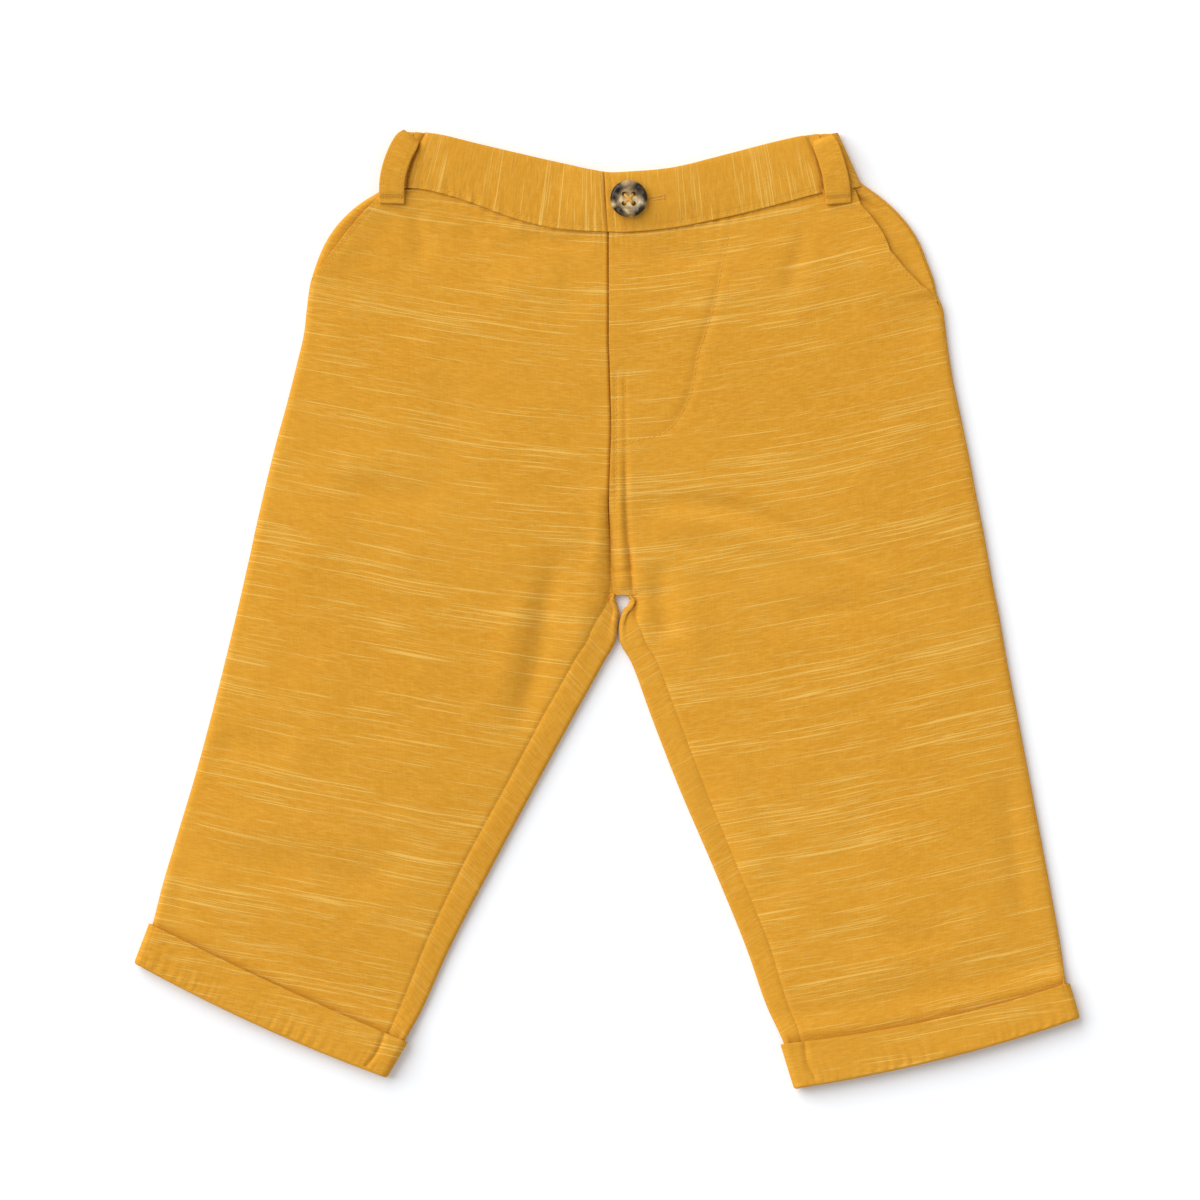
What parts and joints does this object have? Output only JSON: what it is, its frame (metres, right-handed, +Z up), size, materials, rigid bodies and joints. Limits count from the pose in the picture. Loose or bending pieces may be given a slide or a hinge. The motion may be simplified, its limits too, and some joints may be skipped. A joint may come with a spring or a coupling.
{
  "type": "linen trousers",
  "caption": "Baby trousers in mustard slub linen, laid flat, with a buttoned waistband, belt loops, slanted pockets and turned-up cuffs.",
  "frame": {"origin": "on the resting plane, under the middle of the laid-flat garment's bounding box", "axes": "+X to the wearer's left, +Y to the waist, +Z up from the surface"},
  "size_m": [0.3777, 0.3831, 0.0094],
  "materials": {
    "linen": "plain-woven slub linen, mustard, washed soft",
    "horn_resin": "polished resin with brown horn-like clouds"
  },
  "bodies": {
    "root": {"front_right_panel": "linen", "front_left_panel": "linen", "back_right_panel": "linen", "back_left_panel": "linen", "pocket_facing_right": "linen", "pocket_facing_left": "linen", "waistband_right": "linen", "waistband_left": "linen", "waistband_back": "linen", "belt_loop_right": "linen", "belt_loop_left": "linen", "cuff_right": "linen", "cuff_left": "linen", "button": "horn_resin"}
  },
  "joints": []
}
